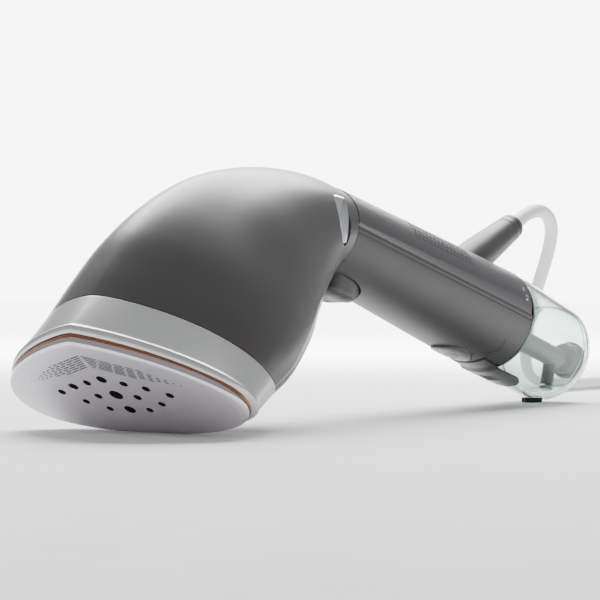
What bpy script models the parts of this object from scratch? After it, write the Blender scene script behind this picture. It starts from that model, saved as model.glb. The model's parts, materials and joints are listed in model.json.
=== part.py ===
# Hand-held garment steamer with a swivelling steam head, standing on its heel and its tank foot.
# Blender 4.5, metres, +Z up. +X runs from the steam head to the water tank, and -Y is the
# side with the parting line that faces the viewer. The plane y = 0 is the plane of symmetry.
import math

import bmesh
import bpy
from mathutils import Matrix, Vector

MM = 0.001
GAP = 0.3 * MM                      # clearance between neighbouring pieces

# --- driving dimensions -------------------------------------------------------------------
HANDLE_TILT = math.radians(15.6)    # handle axis below the horizontal, towards the tank
PLATE_TILT = math.radians(35.3)     # soleplate below the horizontal, towards the heel
RING_X = 109.0 * MM                 # joint ring between handle and tank, on the handle axis
RING_Z = 39.5 * MM
HEEL_X = -130.6 * MM                # heel of the soleplate, which touches the table
HEEL_Z = -0.66 * MM
HANDLE_LEN = 137.2 * MM             # neck seam to tank ring
NECK_R = 18.7 * MM
RING_R = 23.8 * MM
WALL = 2.2 * MM                     # moulded casing thickness
PLATE_THICK = 3.2 * MM
PLATE_FRONT = -59.0 * MM            # tip of the soleplate, measured from its heel
PLATE_REAR = 1.0 * MM
PLATE_HALF_W = 52.4 * MM
BEZEL_LOW = 4.9 * MM                # heights above the soleplate's face
BEZEL_TOP = 21.5 * MM
TANK_LEN = 67.0 * MM                # clear tank, from the ring to its rounded end
TANK_END = 12.5 * MM                # length of the rounded end
TANK_R = 23.5 * MM
TANK_DROOP = 1.3 * MM               # how much lower its axis is, 60 mm from the ring
SUPPLY_Y = -6.0 * MM                # water supply, off the middle of the tank
SUPPLY_Z = -4.0 * MM
FOOT_X = 42.0 * MM                  # foot, level with the table, beyond the ring
LOCK_Y = 18.6 * MM                  # lock button face, out from the plane of symmetry
CORD_D = 6.4 * MM
COIL_R = 36.0 * MM                  # middle of the stored turns
COIL_CENTRE = (379.0 * MM, 1.4 * MM)
FACETS = 48                         # points round a casing section

NECK_S = -HANDLE_LEN                # places along the handle axis, measured from the ring


def material(name, colour, roughness, metallic=0.0):
    """One Principled material with a plain finish."""
    mat = bpy.data.materials.get(name)
    if mat is None:
        mat = bpy.data.materials.new(name)
        mat.use_nodes = True
        shader = mat.node_tree.nodes["Principled BSDF"]
        shader.inputs["Base Color"].default_value = (*colour, 1.0)
        shader.inputs["Roughness"].default_value = roughness
        shader.inputs["Metallic"].default_value = metallic
    return mat


def shell_grey():
    return material("satin_grey", (0.10, 0.095, 0.10), 0.35)


def dark_grey():
    return material("matt_dark_grey", (0.05, 0.05, 0.052), 0.5)


def silver():
    return material("satin_silver", (0.62, 0.64, 0.65), 0.3, 0.8)


def chrome():
    return material("chrome", (0.8, 0.8, 0.82), 0.08, 1.0)


def copper():
    return material("copper_brown", (0.35, 0.13, 0.07), 0.4, 0.6)


def plate_metal():
    return material("soleplate_lilac_grey", (0.55, 0.53, 0.56), 0.35, 0.3)


def cast_metal():
    return material("cast_aluminium", (0.6, 0.6, 0.6), 0.5, 1.0)


def steel():
    return material("steel", (0.55, 0.55, 0.56), 0.3, 1.0)


def clear_tank():
    return material("clear_grey_green", (0.55, 0.66, 0.62), 0.1)


def rubber():
    return material("black_rubber", (0.02, 0.02, 0.02), 0.8)


def white_lead():
    return material("white_lead", (0.85, 0.85, 0.84), 0.45)


def circuit_green():
    return material("circuit_green", (0.05, 0.25, 0.12), 0.5)


def empty(name, location, tilt, parent=None):
    """A frame that its pieces are parented to."""
    frame = bpy.data.objects.new(name, None)
    bpy.context.collection.objects.link(frame)
    frame.location = location
    frame.rotation_euler = (0.0, tilt, 0.0)
    frame.parent = parent
    return frame


def add(name, bm, mat, parent=None, location=(0, 0, 0), rotation=(0, 0, 0), smooth=35.0):
    """Turns a bmesh into a named object in its parent's frame."""
    bmesh.ops.recalc_face_normals(bm, faces=bm.faces)
    mesh = bpy.data.meshes.new(name)
    bm.to_mesh(mesh)
    bm.free()
    if smooth:
        mesh.shade_smooth()
        mesh.set_sharp_from_angle(angle=math.radians(smooth))
    obj = bpy.data.objects.new(name, mesh)
    bpy.context.collection.objects.link(obj)
    obj.parent = parent
    obj.location = location
    obj.rotation_euler = rotation
    mesh.materials.append(mat)
    return obj


def cut(obj, cutter, operation="DIFFERENCE"):
    """Takes a hidden cutter out of an object."""
    cutter.hide_render = True
    cutter.display_type = "WIRE"
    mod = obj.modifiers.new("cut_" + cutter.name, "BOOLEAN")
    mod.operation = operation
    mod.solver = "EXACT"
    mod.object = cutter


def closed_loft(rings, cap=True):
    """Skins a list of closed rings of equal length, and caps both ends."""
    bm = bmesh.new()
    rows = [[bm.verts.new(p) for p in ring] for ring in rings]
    count = len(rows[0])
    for low, high in zip(rows, rows[1:]):
        for i in range(count):
            j = (i + 1) % count
            bm.faces.new((low[i], low[j], high[j], high[i]))
    if cap:
        bm.faces.new(list(reversed(rows[0])))
        bm.faces.new(rows[-1])
    return bm


def wall_loft(outer, inner):
    """A tube wall: outer rings, inner rings, and a flat rim at each end."""
    bm = bmesh.new()
    out = [[bm.verts.new(p) for p in ring] for ring in outer]
    inn = [[bm.verts.new(p) for p in ring] for ring in inner]
    count = len(out[0])
    for rows in (out, inn):
        for low, high in zip(rows, rows[1:]):
            for i in range(count):
                j = (i + 1) % count
                bm.faces.new((low[i], low[j], high[j], high[i]))
    for a, b in ((out[0], inn[0]), (out[-1], inn[-1])):
        for i in range(count):
            j = (i + 1) % count
            bm.faces.new((a[i], a[j], b[j], b[i]))
    return bm


def strip_shell(outer, inner):
    """A moulded half shell: two open grids of points joined along their four edges."""
    bm = bmesh.new()
    out = [[bm.verts.new(p) for p in row] for row in outer]
    inn = [[bm.verts.new(p) for p in row] for row in inner]
    for rows in (out, inn):
        for low, high in zip(rows, rows[1:]):
            for i in range(len(low) - 1):
                bm.faces.new((low[i], low[i + 1], high[i + 1], high[i]))
    for a, b in ((out[0], inn[0]), (out[-1], inn[-1])):
        for i in range(len(a) - 1):
            bm.faces.new((a[i], a[i + 1], b[i + 1], b[i]))
    for side in (0, -1):
        for k in range(len(out) - 1):
            bm.faces.new((out[k][side], out[k + 1][side], inn[k + 1][side], inn[k][side]))
    return bm


def turned(profile, steps=32):
    """A solid turned about X from (x, radius) pairs; a radius of zero closes on the axis."""
    bm = bmesh.new()
    rings = []
    for x, r in profile:
        if r < 1e-7:
            rings.append([bm.verts.new((x, 0, 0))])
        else:
            angles = [2 * math.pi * i / steps for i in range(steps)]
            rings.append([bm.verts.new((x, r * math.cos(t), r * math.sin(t))) for t in angles])
    for a, b in zip(rings, rings[1:]):
        for i in range(steps):
            j = (i + 1) % steps
            if len(a) == 1:
                bm.faces.new((a[0], b[j], b[i]))
            elif len(b) == 1:
                bm.faces.new((a[i], a[j], b[0]))
            else:
                bm.faces.new((a[i], a[j], b[j], b[i]))
    return bm, rings


def rod(length, radius, steps=20, start=0.0, chamfer=0.0):
    """A plain round bar along X."""
    c = chamfer
    profile = [(start, 0), (start, radius - c), (start + length, radius - c), (start + length, 0)]
    if c > 0:
        profile = [(start, 0), (start, radius - c), (start + c, radius),
                   (start + length - c, radius), (start + length, radius - c),
                   (start + length, 0)]
    return turned(profile, steps)[0]


def sleeve(x0, x1, inner, outer, steps=32):
    """A straight tube along X from x0 to x1."""
    bm, rings = turned([(x0, inner), (x0, outer), (x1, outer), (x1, inner)], steps)
    for i in range(steps):
        j = (i + 1) % steps
        bm.faces.new((rings[-1][i], rings[-1][j], rings[0][j], rings[0][i]))
    return bm


def block(size, bevel=0.0, segments=2):
    """A box about its own middle, with all its edges rounded."""
    bm = bmesh.new()
    bmesh.ops.create_cube(bm, size=1.0, matrix=Matrix.Diagonal((*size, 1.0)))
    if bevel:
        bmesh.ops.bevel(bm, geom=bm.edges[:], offset=bevel, segments=segments, profile=0.5,
                        affect="EDGES", material=-1)
    return bm


def coil_spring(length, radius, wire, turns, per_turn=10, sides=6):
    """A closed helical wire along X, as a compression spring."""
    count = int(turns * per_turn)
    rings = []
    for k in range(count + 1):
        t = 2 * math.pi * k / per_turn
        centre = Vector((length * k / count, radius * math.cos(t), radius * math.sin(t)))
        radial = Vector((0, math.cos(t), math.sin(t)))
        ring = []
        for i in range(sides):
            a = 2 * math.pi * i / sides
            ring.append(centre + radial * (wire * math.cos(a)) + Vector((wire * math.sin(a), 0, 0)))
        rings.append(ring)
    return closed_loft(rings)


def swept_tube(name, points, radius, mat, parent=None, resolution=2):
    """A round tube through hand-placed points, as a poly curve with filled caps."""
    curve = bpy.data.curves.new(name, "CURVE")
    curve.dimensions = "3D"
    curve.bevel_depth = radius
    curve.bevel_resolution = resolution
    curve.use_fill_caps = True
    spline = curve.splines.new("POLY")
    spline.points.add(len(points) - 1)
    for slot, p in zip(spline.points, points):
        slot.co = (*p, 1.0)
    obj = bpy.data.objects.new(name, curve)
    bpy.context.collection.objects.link(obj)
    obj.parent = parent
    curve.materials.append(mat)
    return obj


def smooth_path(points, step):
    """Points at an even step along a smooth curve through the given ones."""
    pts = [Vector(p) for p in points]
    pts = [pts[0] * 2 - pts[1]] + pts + [pts[-1] * 2 - pts[-2]]
    fine = []
    for a, b, c, d in zip(pts, pts[1:], pts[2:], pts[3:]):
        for k in range(24):
            t = k / 24
            fine.append(0.5 * (2 * b + (c - a) * t + (2 * a - 5 * b + 4 * c - d) * t ** 2
                               + (3 * b - a - 3 * c + d) * t ** 3))
    fine.append(pts[-2])
    total = sum((q - p).length for p, q in zip(fine, fine[1:]))
    count = max(2, round(total / step))
    even = [fine[0]]
    walked = 0.0
    goal = total / count
    for p, q in zip(fine, fine[1:]):
        length = (q - p).length
        while walked + length >= goal - 1e-9 and len(even) < count:
            even.append(p.lerp(q, (goal - walked) / length))
            goal += total / count
        walked += length
    even.append(fine[-1])
    return even


# --- the section shared by the soleplate, the bezel and the steam head --------------------
def shield(xi, blunt):
    """Half width of the shield outline at xi, from -1 at the heel to 1 at the tip."""
    if xi > -0.25:
        return (1 - ((xi + 0.25) / 1.25) ** (1.75 + 0.15 * blunt)) ** (0.8 - 0.15 * blunt)
    return max(0.0, 1 - (-(xi + 0.25) / 0.75) ** 2.5) ** 0.4


def section(front, rear, half_width, roundness, angles, inset=0.0, blunt=1.0):
    """Points of a section between a front and a rear point (x, z), at the given angles."""
    f = Vector((front[0], 0, front[1]))
    r = Vector((rear[0], 0, rear[1]))
    half = (f - r) / 2
    middle = (f + r) / 2
    half = half * (1 - inset / half.length)
    width = half_width - inset
    points = []
    for t in angles:
        xi = max(math.cos(t), -0.985)
        flat = shield(xi, blunt)
        eta = flat + (abs(math.sin(t)) - flat) * roundness
        points.append(middle + half * xi + Vector((0, math.copysign(eta, math.sin(t)) * width, 0)))
    return points


def full_turn(count=FACETS):
    return [2 * math.pi * (i + 0.5) / count for i in range(count)]


def plate_ring(z, inset, count=FACETS):
    """The soleplate's outline at height z, taken in by an even inset."""
    return section((PLATE_FRONT, z), (PLATE_REAR, z), PLATE_HALF_W, 0.0, full_turn(count), inset, 0.0)


# --- the steam head's stations: front point, rear point, half width, roundness -------------
HEAD_STATIONS = [
    ((-57.6, 21.8), (15.0, 21.8), 48.8, 0.0),
    ((-56.4, 36.0), (23.0, 34.0), 47.8, 0.05),
    ((-53.4, 54.0), (30.5, 47.0), 44.4, 0.18),
    ((-46.0, 73.5), (37.5, 60.0), 39.3, 0.36),
    ((-34.0, 93.0), (41.5, 73.0), 33.8, 0.55),
    ((-17.0, 110.5), (44.8, 85.0), 28.4, 0.74),
    ((2.0, 125.0), (47.2, 95.5), 24.0, 0.88),
    ((20.0, 135.2), (48.8, 102.5), 20.8, 0.97),
    ((37.0, 142.1), (49.6, 107.1), 18.7, 1.0),
]


def head_station(u):
    """A station between the listed ones, on a smooth curve through them (u from 0 to 1)."""
    last = len(HEAD_STATIONS) - 1
    k = min(int(u * last), last - 1)
    t = u * last - k

    def value(read):
        v = [read(HEAD_STATIONS[min(max(k + i, 0), last)]) for i in (-1, 0, 1, 2)]
        return 0.5 * (2 * v[1] + (v[2] - v[0]) * t + (2 * v[0] - 5 * v[1] + 4 * v[2] - v[3]) * t ** 2
                      + (3 * v[1] - v[0] - 3 * v[2] + v[3]) * t ** 3)

    front = (value(lambda s: s[0][0]) * MM, value(lambda s: s[0][1]) * MM)
    rear = (value(lambda s: s[1][0]) * MM, value(lambda s: s[1][1]) * MM)
    return front, rear, value(lambda s: s[2]) * MM, min(1.0, value(lambda s: s[3]))


def head_rows(angles, inset, rows=15):
    """Rows of the head's skin from the bezel to the neck."""
    result = []
    for k in range(rows):
        front, rear, width, roundness = head_station(k / (rows - 1))
        result.append(section(front, rear, width, roundness, angles, inset))
    return result


def span(start, end, count):
    return [start + (end - start) * i / (count - 1) for i in range(count)]


SPLIT = math.radians(128.0)         # where the front and rear head shells meet


def build_head_shells(head):
    """Front and rear casing of the steam head, parted along the flank."""
    angles = span(-SPLIT, SPLIT, 37)
    front = add("head_front_shell", strip_shell(head_rows(angles, 0), head_rows(angles, WALL)),
                shell_grey(), head)
    slack = math.radians(1.0)
    angles = span(SPLIT + slack, 2 * math.pi - SPLIT - slack, 17)
    rear = add("head_rear_shell", strip_shell(head_rows(angles, 0), head_rows(angles, WALL)),
               dark_grey(), head)
    return front, rear


def build_bezel(head):
    """Silver band between the soleplate and the head shells."""
    angles = full_turn()
    outer = []
    inner = []
    for h in (0.0, 0.1, 0.4, 0.7, 1.0):
        z = BEZEL_LOW + (BEZEL_TOP - BEZEL_LOW) * h
        lip = 1.0 * MM if h == 0 else 0.0
        front = (-61.4 * MM + 3.8 * MM * h + lip, z)
        rear = (3.2 * MM + 11.8 * MM * h - lip, z)
        width = 53.6 * MM - 4.8 * MM * h - lip
        outer.append(section(front, rear, width, 0.0, angles, 0.0, h))
        inner.append(section(front, rear, width, 0.0, angles, WALL, h))
    return add("bezel_band", wall_loft(outer, inner), silver(), head)


def steam_holes():
    """Places of the steam holes from the heel, with their radius: (x, y, r)."""
    holes = [(-36.2, 0.0, 2.6), (-26.2, 0.0, 3.4), (-16.6, 0.0, 2.8)]
    for side in (1, -1):
        for k, x in enumerate((-33.7, -30.8, -27.0)):
            holes.append((x, side * (8.5 + 8.3 * k), 2.1))
        holes.append((-25.0, side * 9.1, 2.1))
        holes.append((-21.0, side * 17.6, 1.9))
        holes.append((-16.7, side * 9.3, 1.9))
    return [(x * MM, y * MM, r * MM) for x, y, r in holes]


def build_soleplate(head):
    """Pressed metal soleplate with a rounded edge and fifteen steam holes."""
    rings = [plate_ring(0.0, 2.2 * MM), plate_ring(0.5 * MM, 1.0 * MM), plate_ring(1.4 * MM, 0.2 * MM),
             plate_ring(2.4 * MM, 0.0), plate_ring(PLATE_THICK, 0.0)]
    plate = add("soleplate", closed_loft(rings), plate_metal(), head)
    bm = bmesh.new()
    for x, y, r in steam_holes():
        bmesh.ops.create_cone(bm, cap_ends=True, segments=12, radius1=r, radius2=r, depth=12 * MM,
                              matrix=Matrix.Translation((x, y, 0)))
    cut(plate, add("steam_hole_cutter", bm, steel(), head))
    return plate


def build_gasket(head):
    """Copper-coloured insulating ring between the soleplate and the bezel."""
    low = PLATE_THICK + GAP
    high = BEZEL_LOW - GAP
    outer = [plate_ring(low, -0.7 * MM), plate_ring(high, -0.7 * MM)]
    inner = [plate_ring(low, 4.5 * MM), plate_ring(high, 4.5 * MM)]
    return add("insulating_ring", wall_loft(outer, inner), copper(), head)


def build_heater(head):
    """Steam chamber with its element, thermostat, fuse, heat shield and steam pipe."""
    low = PLATE_THICK + GAP
    rings = [plate_ring(low, 9 * MM, 32), plate_ring(13 * MM, 9 * MM, 32),
             plate_ring(15 * MM, 11 * MM, 32)]
    add("steam_chamber", closed_loft(rings), cast_metal(), head)
    u_bend = [(-9, 22), (-20, 22), (-30, 19.5), (-38, 12), (-41, 0), (-38, -12), (-30, -19.5),
              (-20, -22), (-9, -22)]
    path = smooth_path([(x * MM, y * MM, 18.9 * MM) for x, y in u_bend], 5 * MM)
    swept_tube("heating_element", path, 3.4 * MM, steel(), head, 2)
    upright = (0.0, -math.pi / 2, 0.0)
    add("thermostat", rod(6 * MM, 7.5 * MM, 20, chamfer=0.6 * MM), steel(), head,
        (-24 * MM, 0, 15.4 * MM), upright)
    add("thermal_fuse", rod(13 * MM, 2.2 * MM, 12), steel(), head, (-9.5 * MM, -18 * MM, 17.7 * MM),
        (0, 0, math.pi / 2))
    shield_rings = [section((-46 * MM, z), (-14 * MM, z), 36 * MM, 0.1, full_turn(28))
                    for z in (26 * MM, 27.2 * MM)]
    add("heat_shield", closed_loft(shield_rings), steel(), head)
    pipe = smooth_path([(x * MM, 0, z * MM) for x, z in
                        ((-6, 15.4), (-6, 30), (-5, 52), (-3, 76), (4, 96), (16, 110), (25.5, 116.6))],
                       6 * MM)
    swept_tube("steam_pipe", pipe, 4 * MM, rubber(), head, 2)


def build_neck(handle, head_swivel):
    """Swivel sleeve of the handle, and the collar and clip of the head that turn on it."""
    add("swivel_sleeve", sleeve(NECK_S - 14 * MM, NECK_S + 1.6 * MM, 8.6 * MM, 11.6 * MM), dark_grey(),
        handle)
    add("swivel_collar", sleeve(-9 * MM, -2 * MM, 11.9 * MM, 15.2 * MM), silver(), head_swivel)
    add("retaining_ring", sleeve(-11.6 * MM, -9.4 * MM, 11.9 * MM, 13.6 * MM, 24), steel(),
        head_swivel)


def casing_radius(s):
    """Radius of the handle at a place s along its axis."""
    return NECK_R + (RING_R - NECK_R) * (s - NECK_S) / HANDLE_LEN


def casing_rows(angles, inset, rows):
    """Rows of the handle's skin from the neck seam to the tank ring."""
    result = []
    for s in span(NECK_S + GAP, -GAP, rows):
        r = casing_radius(s) - inset
        result.append([(s, -r * math.cos(t), r * math.sin(t)) for t in angles])
    return result


PARTING = math.radians(5.0)         # the casing's side seam, above the middle
TRIGGER_S = (-135.0 * MM, -114.0 * MM)
TRIGGER_HALF_W = 7.0 * MM
TRIGGER_PAD = (16.4 * MM, 10.4 * MM, 9.0 * MM)   # reach to the tank, reach to the neck, half width
BUTTON_S = -26.0 * MM
BUTTON_HALF = (12.0 * MM, 8.0 * MM)
LATCH_S = (-13.2 * MM, 27.5 * MM)
LATCH_HALF_W = 9.0 * MM
GUIDE_S = -16.8 * MM
GUIDE_Q = 25.0 * MM
GUIDE_LEAN = math.radians(38.7)     # cord guide, leaning from the handle axis
SCREW_S = (-94.0 * MM, -48.0 * MM)
SCREW_LEAN = math.radians(30.0)     # the casing screws enter from below, on the far side


def oval(half_x, half_y, depth, count=32):
    """An upright oval prism about its own middle."""
    rings = []
    for z in (-depth / 2, depth / 2):
        rings.append([(half_x * math.cos(t), half_y * math.sin(t), z) for t in full_turn(count)])
    return closed_loft(rings)


def trigger_plan(inset, z, extra=0.0):
    """Outline of the finger pad: half an ellipse towards the tank, squarer towards the neck."""
    tank_reach, neck_reach, half_width = TRIGGER_PAD
    ring = []
    for t in full_turn(36):
        c, d = math.cos(t), math.sin(t)
        if c >= 0:
            ring.append(((tank_reach - inset) * c, (half_width - inset) * d, z))
        else:
            reach = neck_reach - inset + extra
            ring.append((-reach * abs(c) ** 0.4, (half_width - inset) * math.copysign(abs(d) ** 0.4, d), z))
    return ring


def screw_seat(s, out):
    """A point on a casing screw's line, `out` beyond the casing's surface on its far side."""
    r = casing_radius(s) + out
    return (s, r * math.sin(SCREW_LEAN), -r * math.cos(SCREW_LEAN))


def build_casings(handle):
    """Top cover and lower casing of the handle."""
    angles = span(PARTING, math.pi - PARTING, 25)
    cover = add("top_cover", strip_shell(casing_rows(angles, 0, 5), casing_rows(angles, WALL, 5)),
                shell_grey(), handle)
    slack = GAP / RING_R * 1.2
    angles = span(math.pi - PARTING + slack, 2 * math.pi + PARTING - slack, 27)
    casing = add("lower_casing", strip_shell(casing_rows(angles, 0, 5), casing_rows(angles, WALL, 5)),
                 dark_grey(), handle)
    slot = closed_loft([trigger_plan(-0.5 * MM, z * MM, 0.6 * MM) for z in (-8, 8)])
    cut(casing, add("trigger_slot", slot, steel(), handle, (TRIGGER_S[1] - 10 * MM, 0, -22 * MM)))
    well = oval(BUTTON_HALF[0] + 0.4 * MM, BUTTON_HALF[1] + 0.4 * MM, 14 * MM)
    cut(casing, add("button_well", well, steel(), handle, (BUTTON_S, 0, -24 * MM)))
    bay = block((20 * MM, 2 * LATCH_HALF_W + 0.8 * MM, 16 * MM))
    cut(casing, add("latch_bay", bay, steel(), handle, (-2.9 * MM, 0, -26 * MM)))
    bore = rod(60 * MM, 8.5 * MM, 28, start=-24 * MM)
    cut(cover, add("guide_bore", bore, steel(), handle, (GUIDE_S, 0, GUIDE_Q), (0, -GUIDE_LEAN, 0)))
    for k, place in enumerate(SCREW_S):
        bore = rod(12 * MM, 2.7 * MM, 16)
        cut(casing, add("screw_bore_%d" % (k + 1), bore, steel(), handle,
                        screw_seat(place, 4 * MM), (0, SCREW_LEAN - math.pi / 2, -math.pi / 2)))
    return cover, casing


def build_trigger(handle):
    """Steam trigger on its own pin, with a return spring and a switch."""
    pivot = (TRIGGER_S[1] - 3 * MM, 0, -12.5 * MM)
    axis = empty("trigger_axis", pivot, 0, handle)
    outline = [(-16.8, 0.9), (-16.8, -8.0), (2.7, -8.0), (2.7, 2.0), (-2.8, 2.2), (-4.5, 0.9)]
    bm = bmesh.new()
    face = bm.faces.new([bm.verts.new((x * MM, -TRIGGER_HALF_W, z * MM)) for x, z in outline])
    grown = bmesh.ops.extrude_face_region(bm, geom=[face])
    moved = [v for v in grown["geom"] if isinstance(v, bmesh.types.BMVert)]
    bmesh.ops.translate(bm, verts=moved, vec=(0, 2 * TRIGGER_HALF_W, 0))
    trigger = add("trigger", bm, dark_grey(), axis)
    rings = []
    for inset, z in ((0.0, -4.4), (0.0, -10.6), (0.8, -12.3), (2.6, -13.2)):
        ring = trigger_plan(inset * MM, z * MM)
        rings.append([(x - 7 * MM, y, z * (1 - 0.34 * max(0.0, x / TRIGGER_PAD[0]) ** 2) if z < -0.005 else z)
                      for x, y, z in ring])
    cut(trigger, add("trigger_pad", closed_loft(rings), steel(), axis), "UNION")
    across = (0, 0, math.pi / 2)
    bore = rod(20 * MM, 1.3 * MM, 12, start=-10 * MM)
    cut(trigger, add("trigger_bore", bore, steel(), axis, (0, 0, 0), across))
    add("trigger_pin", rod(16.4 * MM, 1.0 * MM, 12, start=-8.2 * MM), steel(), handle, pivot, across)
    spring = coil_spring(6.5 * MM, 1.8 * MM, 0.3 * MM, 5)
    add("trigger_spring", spring, steel(), handle, (pivot[0] - 13 * MM, 0, pivot[2] + 1.4 * MM),
        (0, -math.pi / 2, 0))
    switch = block((9 * MM, 6 * MM, 6 * MM), 0.5 * MM, 1)
    add("trigger_switch", switch, dark_grey(), handle, (pivot[0] - 4 * MM, 0, pivot[2] + 6.5 * MM))


def build_button(handle):
    """Domed on/off button with its switch."""
    axis = empty("button_axis", (BUTTON_S, 0, -casing_radius(BUTTON_S)), 0, handle)
    a, b = BUTTON_HALF
    rings = []
    r = casing_radius(BUTTON_S)
    for z, grow in ((5.5, 1.0), (-0.3, 1.0), (-0.8, 0.88), (-1.1, 0.6), (-1.2, 0.25)):
        ring = [(a * grow * math.cos(t), b * grow * math.sin(t)) for t in full_turn(28)]
        rings.append([(x, y, z * MM + (r - math.sqrt(r * r - y * y) if z < 0 else 0.0)) for x, y in ring])
    add("power_button", closed_loft(rings), dark_grey(), axis)
    switch = block((12 * MM, 8 * MM, 6 * MM), 0.5 * MM, 1)
    add("power_switch", switch, dark_grey(), handle, (BUTTON_S, 0, -casing_radius(BUTTON_S) + 10.6 * MM))


def build_screws(handle):
    """Two screws that hold the casing halves together from below."""
    for k, place in enumerate(SCREW_S):
        bm = turned([(0, 0), (0, 2.3 * MM), (2 * MM, 2.3 * MM), (2 * MM, 1.2 * MM), (13 * MM, 1.2 * MM),
                     (13.8 * MM, 0.5 * MM), (13.8 * MM, 0)], 16)[0]
        add("casing_screw_%d" % (k + 1), bm, steel(), handle,
            screw_seat(place, -1.0 * MM), (0, SCREW_LEAN - math.pi / 2, -math.pi / 2))


def build_handle_works(handle):
    """Pump with its hoses, its bracket, the circuit board and the tank socket."""
    add("pump", rod(34 * MM, 9 * MM, 28, start=-88 * MM, chamfer=1 * MM), steel(), handle,
        (0, 0, 2 * MM))
    add("pump_bracket", block((20 * MM, 22 * MM, 2 * MM), 0.4 * MM, 1), dark_grey(), handle,
        (-71 * MM, 0, -8.4 * MM))
    inlet = smooth_path([(x * MM, y * MM, z * MM) for x, y, z in
                         ((-53.6, 0, 2), (-46, 0, 2), (-36, -3, -1), (-26, -6, -4), (-18.4, -6, -4))], 5 * MM)
    swept_tube("inlet_hose", inlet, 2.5 * MM, rubber(), handle)
    outlet = smooth_path([(x * MM, 0, z * MM) for x, z in
                          ((-88.4, 2), (-98, 1.6), (-112, 0.6), (-126, 0), (-152, 0))], 6 * MM)
    swept_tube("outlet_hose", outlet, 2.5 * MM, rubber(), handle)
    add("circuit_board", block((42 * MM, 20 * MM, 1.6 * MM)), circuit_green(), handle,
        (-70 * MM, 0, 13.2 * MM))
    bulkhead = add("tank_bulkhead", rod(2 * MM, 20.4 * MM, 40, start=-7 * MM), dark_grey(), handle)
    cut(bulkhead, add("bulkhead_bore", rod(10 * MM, 4.6 * MM, 24, start=-11 * MM), steel(), handle,
                      (0, SUPPLY_Y, SUPPLY_Z)))
    place = (0, SUPPLY_Y, SUPPLY_Z)
    add("tank_spigot", sleeve(-18 * MM, 1.4 * MM, 2.0 * MM, 4.2 * MM, 24), dark_grey(), handle, place)
    add("tank_seal", sleeve(-4.6 * MM, -0.4 * MM, 4.6 * MM, 7.0 * MM, 28), rubber(), handle, place)


def build_latch(handle):
    """Springy tongue that holds the tank, on its own pin."""
    pivot = (-2.2 * MM, 0, -17.2 * MM)
    axis = empty("latch_axis", pivot, 0, handle)
    half = math.asin(LATCH_HALF_W / RING_R)
    outer = []
    inner = []
    for s in span(LATCH_S[0] + 1 * MM, LATCH_S[1], 21):
        end = max(0.0, (s - 17 * MM) / (LATCH_S[1] - 17 * MM))
        reach = half * math.sqrt(max(0.08, 1 - end ** 2))
        angles = span(-math.pi / 2 - reach, -math.pi / 2 + reach, 9)
        r = casing_radius(min(s, 0)) + 0.3 * MM + 1.1 * MM * min(1.0, max(0.0, (s + 3.4 * MM) / (4 * MM)))
        ri = r - 1.0 * MM
        outer.append([(s - pivot[0], r * math.cos(t), r * math.sin(t) - pivot[2]) for t in angles])
        inner.append([(s - pivot[0], ri * math.cos(t), ri * math.sin(t) - pivot[2]) for t in angles])
    latch = add("tank_latch", strip_shell(outer, inner), dark_grey(), axis)
    lug = block((3.4 * MM, 8 * MM, 8.4 * MM))
    cut(latch, add("latch_lug", lug, steel(), axis, (0, 0, -2.2 * MM)), "UNION")
    across = (0, 0, math.pi / 2)
    cut(latch, add("latch_bore", rod(20 * MM, 1.1 * MM, 12, start=-10 * MM), steel(), axis, (0, 0, 0),
                   across))
    add("latch_pin", rod(15 * MM, 0.8 * MM, 12, start=-7.5 * MM), steel(), handle, pivot, across)


def tank_profile(grow=0.0):
    """The tank's side from the ring to its rounded end, as (s, radius)."""
    pairs = [(0.3 * MM, 23.8 * MM + grow), (16 * MM, 23.75 * MM + grow), (34 * MM, 23.6 * MM + grow),
             (47 * MM, TANK_R + grow)]
    for turn in (0, 15, 30, 45, 58, 70, 80):
        t = math.radians(turn)
        pairs.append((TANK_LEN - TANK_END + (TANK_END + grow) * math.sin(t), (TANK_R + grow) * math.cos(t)))
    return pairs


def drooped(bm):
    """Lets a tank surface sink a little towards its far end, as the real one does."""
    for vert in bm.verts:
        vert.co.z -= TANK_DROOP * max(0.0, (vert.co.x - 15 * MM) / (45 * MM))
    return bm


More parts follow.
